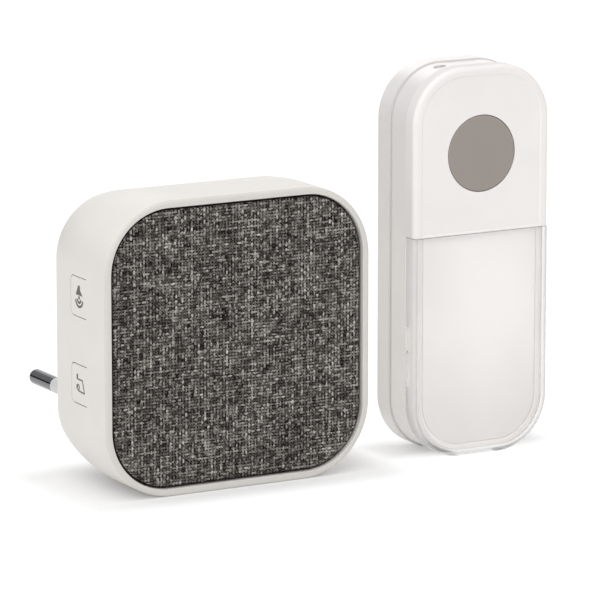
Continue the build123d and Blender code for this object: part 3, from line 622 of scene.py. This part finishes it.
def weave_height(x, z):
    """Height of a plain weave's surface, from 0 in its holes to 1 on its threads' crowns."""
    column, row = np.round(x / WARP_PITCH), np.round(z / WEFT_PITCH)
    dx, dz = x / WARP_PITCH - column, z / WEFT_PITCH - row
    over = np.where((column + row) % 2 == 1, 1.0, -1.0)

    def thread(off, along, rise):
        crown = np.sqrt(np.clip(1 - (off / THREAD_HALF) ** 2, 0, 1))
        height = rise * np.cos(math.pi * along) + crown
        return np.where(np.abs(off) < THREAD_HALF, height, -HOLE_DEPTH)

    highest = np.maximum(thread(dx, dz, over), thread(dz, dx, -over))
    return (highest + HOLE_DEPTH) / (CROWN_HEIGHT + HOLE_DEPTH)


def cloth_surface(low, high):
    """The cloth's relief as vertices and faces: flat, and turned over the panel's edge."""
    centre_x, centre_z = (low.x + high.x) / 2, (low.z + high.z) / 2
    half, corner = (high.x - low.x) / 2, CLOTH_CORNER_R
    step_x, step_z = WARP_PITCH / STEPS_PER_THREAD, WEFT_PITCH / STEPS_PER_THREAD
    count_x, count_z = int(half / step_x) + 2, int(half / step_z) + 2
    gx, gz = np.meshgrid(np.arange(-count_x, count_x + 1) * step_x,
                         np.arange(-count_z, count_z + 1) * step_z)
    inside = edge_distance(gx, gz, half, corner)
    keep = inside > -step_x
    # points just outside are drawn in to the outline
    hx, hz = np.sign(gx) * (half - corner), np.sign(gz) * (half - corner)
    ox, oz = gx - hx, gz - hz
    in_corner = (ox * np.sign(gx) > 0) & (oz * np.sign(gz) > 0)
    length = np.maximum(np.hypot(ox, oz), 1e-9)
    pull = np.where(in_corner & (inside < 0), corner / length, 1.0)
    px = np.where(in_corner, hx + ox * pull, np.clip(gx, -half, half))
    pz = np.where(in_corner, hz + oz * pull, np.clip(gz, -half, half))
    depth = np.maximum(edge_distance(px, pz, half, corner), 0)
    turn = np.clip(CLOTH_EDGE_R - depth, 0, CLOTH_EDGE_R)
    fall = CLOTH_EDGE_R - np.sqrt(np.maximum(CLOTH_EDGE_R ** 2 - turn ** 2, 0))
    fade = np.clip(depth / CLOTH_EDGE_R, 0, 1)
    relief = weave_height(px + centre_x, pz + centre_z) * WEAVE_HEIGHT * fade
    py = low.y + WEAVE_HEIGHT + fall - relief
    verts = np.stack([px[keep] + centre_x, py[keep], pz[keep] + centre_z], 1)
    index = -np.ones(gx.shape, int)
    index[keep] = np.arange(keep.sum())
    a, b = index[:-1, :-1], index[:-1, 1:]
    c, d = index[1:, 1:], index[1:, :-1]
    whole = (a >= 0) & (b >= 0) & (c >= 0) & (d >= 0)
    faces = np.stack([a[whole], b[whole], c[whole], d[whole]], 1)
    return verts.tolist(), faces.tolist()


def only_verts(geometry):
    """The vertices among what a bmesh operator gives back."""
    return [part for part in geometry if isinstance(part, bmesh.types.BMVert)]


def store(bm, mesh):
    """Writes a finished bmesh to a mesh, with its normals pointing outwards."""
    bmesh.ops.recalc_face_normals(bm, faces=bm.faces)
    bm.to_mesh(mesh)
    bm.free()


def make_cloth():
    """The grille's cloth: its threads as real relief, with a skirt back to the panel's rim."""
    low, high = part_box("grille_fabric")
    verts, faces = cloth_surface(low, high)
    mesh = bpy.data.meshes.new("grille_cloth")
    mesh.from_pydata(verts, [], faces)
    bm = bmesh.new()
    bm.from_mesh(mesh)
    loose = [v for v in bm.verts if not v.link_faces]
    bmesh.ops.delete(bm, geom=loose, context="VERTS")
    rim = [e for e in bm.edges if e.is_boundary]
    for vert in only_verts(bmesh.ops.extrude_edge_only(bm, edges=rim)["geom"]):
        vert.co.y = high.y
    store(bm, mesh)
    mesh.polygons.foreach_set("use_smooth", [True] * len(mesh.polygons))
    mesh.materials.append(woven("melange_cloth", "grille_fabric"))
    cloth = add_object("grille_cloth", mesh)
    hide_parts("grille_fabric")
    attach(cloth, "chime_and_bracket")


# Signs printed on the keys, drawn with +u to the back and +v up, in millimetres

SIGN_SHIFT = -0.6 * MM
INK_T = 0.04 * MM
# The ink's film reaches into the key by half its thickness, so that no gap shows
INK_SOLID = 1.5 * INK_T
# How far outside the key the rays start that find its outer face
RAY_START = 1 * MM


def arc_points(u, v, radius, start, end, count):
    """Points along a circle's arc between two angles in degrees."""
    angles = np.radians(np.linspace(start, end, count))
    return [(u + radius * math.cos(a), v + radius * math.sin(a)) for a in angles]


def band(points, width):
    """A line of even width along points, as one outline."""
    line = [Vector((u, v, 0)) for u, v in points]
    left, right = [], []
    for i, point in enumerate(line):
        ahead = line[min(i + 1, len(line) - 1)] - line[max(i - 1, 0)]
        side = Vector((-ahead.y, ahead.x, 0)).normalized() * width / 2
        left.append(point + side)
        right.append(point - side)
    return [(p.x, p.y) for p in left + right[::-1]]


def volume_sign():
    """A loudspeaker turned to sound downwards: its horn, a dot and two waves below."""
    horn = [(-0.5, 2.9), (0.5, 2.9), (0.6, 1.7), (1.9, 0.45), (-1.9, 0.45), (-0.6, 1.7)]
    dot = arc_points(0, -0.15, 0.45, 0, 340, 12)
    waves = [band(arc_points(0, -0.25, radius, 195, 345, 16), 0.6) for radius in (1.15, 2.2)]
    return [horn, dot] + waves


def melody_sign():
    """A pair of quavers lying on their side: heads to the back, the beam to the front."""
    head = [(1.5 + 0.45 * u, 2.0 + 0.62 * v) for u, v in arc_points(0, 0, 1.0, 0, 345, 24)]
    hollow = [(1.1 + 0.8 * u, 0.7 * v - 0.8) for u, v in arc_points(0, 0, 1.0, -70, 250, 24)]
    beam = band([(-1.45, 1.4), (-2.6, -2.0)], 0.4)
    stems = [band(points, 0.36) for points in ([(1.85, 1.5), (1.6, 1.25), (-1.5, 1.25)],
                                               [(1.2, -1.45), (0.5, -1.7), (-2.6, -1.85)])]
    return [head, band(hollow, 0.3), beam] + stems


def print_sign(name, shapes, node, body, material):
    """Lays flat shapes on a key's outer face as a thin film of ink."""
    low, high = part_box(node)
    middle = Vector((0, (low.y + high.y) / 2 + SIGN_SHIFT, (low.z + high.z) / 2))
    bm = bmesh.new()
    for shape in shapes:
        bm.faces.new([bm.verts.new((0, middle.y + u * MM, middle.z + v * MM)) for u, v in shape])
    bmesh.ops.triangulate(bm, faces=bm.faces)
    bmesh.ops.subdivide_edges(bm, edges=bm.edges, cuts=1)
    for vert in bm.verts:
        start = Vector((low.x - RAY_START, vert.co.y, vert.co.z))
        hit, place, _, _ = nodes[node].ray_cast(start, Vector((1, 0, 0)))
        vert.co.x = (place.x if hit else low.x) - INK_T
    for vert in only_verts(bmesh.ops.extrude_face_region(bm, geom=list(bm.faces))["geom"]):
        vert.co.x += INK_SOLID
    mesh = bpy.data.meshes.new(name)
    store(bm, mesh)
    mesh.materials.append(material)
    sign = add_object(name, mesh)
    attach(sign, body)


# Lamps, world, floor and flag: the studio, which isn't part of the object

LAMP_TARGET = Vector((0.0, 0.0, 0.04))
# Name, place, disc's diameter and watts
LAMPS = (("key_lamp", (-0.28, -0.25, 1.1), 1.2, 5.3),
         ("fill_lamp", (-0.5, -0.9, 0.38), 0.7, 1.7))
# How strongly the world lights things, while it looks fully white itself
WORLD_LIGHT = 0.625
FLOOR_HALF = 12.0
FLOOR_GREY = (0.94, 0.94, 0.94, 1)
# The floor's own glow keeps it white. Its share is FLOOR_FILL beside a unit and
# FLOOR_NEAR_FILL at FLOOR_NEAR from it, and FLOOR_LAST_FILL is added up to FLOOR_WHITE.
FLOOR_GLOW = 1.12
FLOOR_NEAR = 0.017
FLOOR_WHITE = 0.16
FLOOR_FILL, FLOOR_NEAR_FILL, FLOOR_LAST_FILL = 0.15, 0.93, 0.07
# The transmitter's shadow is fainter: the floor glows there as it does this much further out
PUSH_SHADOW_START = 0.005
# Where the flag stands on the floor, up to which height it is black, and from which it is grey
FLAG_ENDS = ((-1.1, 0.5), (0.1, 1.1))
FLAG_HEIGHT = 4.0
FLAG_BLACK, FLAG_GREY = 0.13, 0.208
FLAG_BLACK_GLOW, FLAG_GREY_GLOW = 0.02, 0.52


def soft_lamp(name, place, size, power):
    """A round area lamp that shines at LAMP_TARGET."""
    data = bpy.data.lights.new(name, "AREA")
    data.shape = "DISK"
    data.size = size
    data.energy = power
    lamp = add_object(name, data)
    lamp.location = place
    lamp.rotation_euler = (LAMP_TARGET - Vector(place)).to_track_quat("-Z", "Y").to_euler()


def seen_rays(tree):
    """1 for rays that show a thing, straight, mirrored or through plastic, and 0 for its light."""
    path = tree.nodes.new("ShaderNodeLightPath")
    seen = path.outputs["Is Camera Ray"]
    for kind in ("Is Transmission Ray", "Is Glossy Ray"):
        either = tree.nodes.new("ShaderNodeMath")
        either.operation = "MAXIMUM"
        tree.links.new(seen, either.inputs[0])
        tree.links.new(path.outputs[kind], either.inputs[1])
        seen = either.outputs[0]
    return seen


def make_world():
    """A white world, which looks white but lights the object less."""
    world = bpy.data.worlds.new("studio")
    bpy.context.scene.world = world
    world.use_nodes = True
    tree = world.node_tree
    background = tree.nodes["Background"]
    background.inputs["Color"].default_value = (1, 1, 1, 1)
    strength = tree.nodes.new("ShaderNodeMapRange")
    strength.inputs["To Min"].default_value = WORLD_LIGHT
    strength.inputs["To Max"].default_value = 1.0
    tree.links.new(seen_rays(tree), strength.inputs["Value"])
    tree.links.new(strength.outputs[0], background.inputs["Strength"])


def beside(g, x, y, node):
    """How far a point of the floor lies from a node's footprint."""
    low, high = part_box(node)
    return beyond(g, ((x, low.x, high.x), (y, low.y, high.y)))


def make_floor():
    """A white floor that keeps soft shadows only close beside the two units."""
    s = FLOOR_HALF
    mesh = bpy.data.meshes.new("floor")
    mesh.from_pydata([(-s, -s, 0), (s, -s, 0), (s, s, 0), (-s, s, 0)], [], [(0, 1, 2, 3)])
    g = Graph("white_floor")
    _, (x, y, _) = g.place()
    g.set(Base_Color=FLOOR_GREY, Roughness=0.9, Specular_IOR_Level=0.0)
    away = g.math("MINIMUM", beside(g, x, y, "chime_housing"),
                  g.math("ADD", beside(g, x, y, "wall_bracket"), PUSH_SHADOW_START))
    white = g.math("ADD", g.between(away, 0.0, FLOOR_NEAR, FLOOR_FILL, FLOOR_NEAR_FILL),
                   g.between(away, FLOOR_NEAR, FLOOR_WHITE, 0.0, FLOOR_LAST_FILL))
    glow = g.add("ShaderNodeEmission")
    glow.inputs["Strength"].default_value = FLOOR_GLOW
    g.overlay(g.math("MULTIPLY", seen_rays(g.tree), white), glow)
    mesh.materials.append(g.material)
    floor = add_object("floor", mesh)


def make_flag():
    """A dark flag far behind on the left, seen only in reflections: bright metal's dark line."""
    mesh = bpy.data.meshes.new("studio_flag")
    ends = [Vector((x, y, 0)) for x, y in FLAG_ENDS]
    up = Vector((0, 0, FLAG_HEIGHT))
    mesh.from_pydata([ends[0], ends[1], ends[1] + up, ends[0] + up], [], [(0, 1, 2, 3)])
    g = Graph("flag_cloth")
    _, (_, _, z) = g.place()
    glow = g.add("ShaderNodeEmission")
    strength = g.between(z, FLAG_BLACK, FLAG_GREY, FLAG_BLACK_GLOW, FLAG_GREY_GLOW)
    g.join(strength, glow.inputs["Strength"])
    g.join(glow.outputs[0], g.output.inputs["Surface"])
    mesh.materials.append(g.material)
    flag = add_object("studio_flag", mesh)
    flag.visible_camera = flag.visible_diffuse = False
    flag.visible_shadow = flag.visible_transmission = False


# Painted tones of the front skins: the depth behind the unit's foremost point where each starts to
# fade, where it has faded, and its factor. Painted shade darkens the chime's rim and the deck at
# the front, and painted light brightens the cap's front. The side walls' painted shade has heights,
# where it starts and where it is full, and darkens them with height.
RIM_SHADE = (0.35 * MM, 0.7 * MM, 0.84)
CAP_LIGHT = (0.7 * MM, 1.4 * MM, 1.125)
DECK_SHADE = (1.4 * MM, 2.1 * MM, 0.88)
SIDE_SHADE = (10 * MM, 92 * MM, 0.76)


def painted_front_tone(node, tone):
    """A painted front tone for moulded(), light above 1 and shade below, measured from a node's
    foremost point.
    """
    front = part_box(node)[0].y
    start, end, factor = tone
    return (front + start, front + end, factor)


def dress_nodes():
    """Gives every CAD node its material."""
    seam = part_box("push_housing")[1].y
    finishes = (
        # Painted shade on the chime's rim front, painted light on the cap's front, painted shade on
        # the deck's front
        (moulded("warm_white_plastic", srgb(234, 231, 225),
                 front=painted_front_tone("chime_housing", RIM_SHADE)),
         ("chime_housing", "volume_key", "melody_key", "rear_cover")),
        (moulded("white_plastic", srgb(232, 228, 226), front=painted_front_tone("front_cap", CAP_LIGHT)),
         ("front_cap",)),
        # The transmitter's back and deck: painted shade that darkens their side walls with height,
        # and painted shade along the parting line
        (moulded("back_white_plastic", srgb(253, 250, 248), sides=SIDE_SHADE, seam=seam),
         ("wall_bracket",)),
        (moulded("deck_white_plastic", srgb(252, 249, 247), sides=SIDE_SHADE, seam=seam,
                 front=painted_front_tone("front_cap", DECK_SHADE)),
         ("push_housing",)),
        (moulded("grey_push_plastic", srgb(155, 147, 140), roughness=0.6, grain=0.5, drift=0.03),
         ("bell_push",)),
        (moulded("black_plastic", srgb(24, 24, 24), roughness=0.5),
         ("grille_panel", "speaker_basket", "speaker_magnet", "power_transformer")),
        (moulded("component_plastic", srgb(30, 30, 32), roughness=0.35),
         ("key_switches", "volume_plunger", "melody_plunger", "smoothing_capacitors",
          "sound_chip", "push_switch", "push_plunger", "push_chip")),
        (moulded("film_capacitor_plastic", srgb(214, 186, 74), roughness=0.3),
         ("mains_capacitor",)),
        (moulded("sleeve_plastic", srgb(214, 214, 214), roughness=0.35), ("pin_sleeves",)),
        (moulded("silicone", srgb(205, 205, 203), roughness=0.55), ("push_membrane",)),
        (moulded("foam", srgb(34, 34, 34), roughness=0.9, grain=1.0, drift=0.2),
         ("speaker_gasket", "speaker_cone")),
        (moulded("lamp_resin", srgb(120, 118, 115), roughness=0.15, grain=0.1), ("status_led",)),
        (printed_card("card_stock", "name_card"), ("name_card",)),
        (printed_board("board_lacquer", srgb(28, 92, 54)),
         ("key_board", "main_board", "radio_module", "push_board")),
        (metal("pin_nickel", srgb(116, 116, 120), roughness=0.12, stretch=(1.0, 0.1, 1.0)),
         ("plug_pins",)),
        (metal("zinc_steel", srgb(180, 180, 180), roughness=0.3, stretch=(1.0, 1.0, 0.1)),
         ("pin_contacts", "rear_screws", "board_screws", "button_cell", "cell_pad", "cell_clip",
          "push_board_screws")),
        (clear_plastic("clear_plastic", "name_cover"), ("name_cover",)),
    )
    for material, names in finishes:
        for name in names:
            mesh = nodes[name].data
            mesh.materials.clear()
            mesh.materials.append(material)


def main():
    make_camera()
    make_world()
    make_floor()
    make_flag()
    for lamp in LAMPS:
        soft_lamp(*lamp)
    dress_nodes()
    make_cloth()
    ink = moulded("key_ink", srgb(104, 100, 96), roughness=0.6)
    print_sign("volume_sign", volume_sign(), "volume_key", "volume_key", ink)
    print_sign("melody_sign", melody_sign(), "melody_key", "melody_key", ink)
    bpy.context.scene.view_settings.view_transform = "Standard"


main()
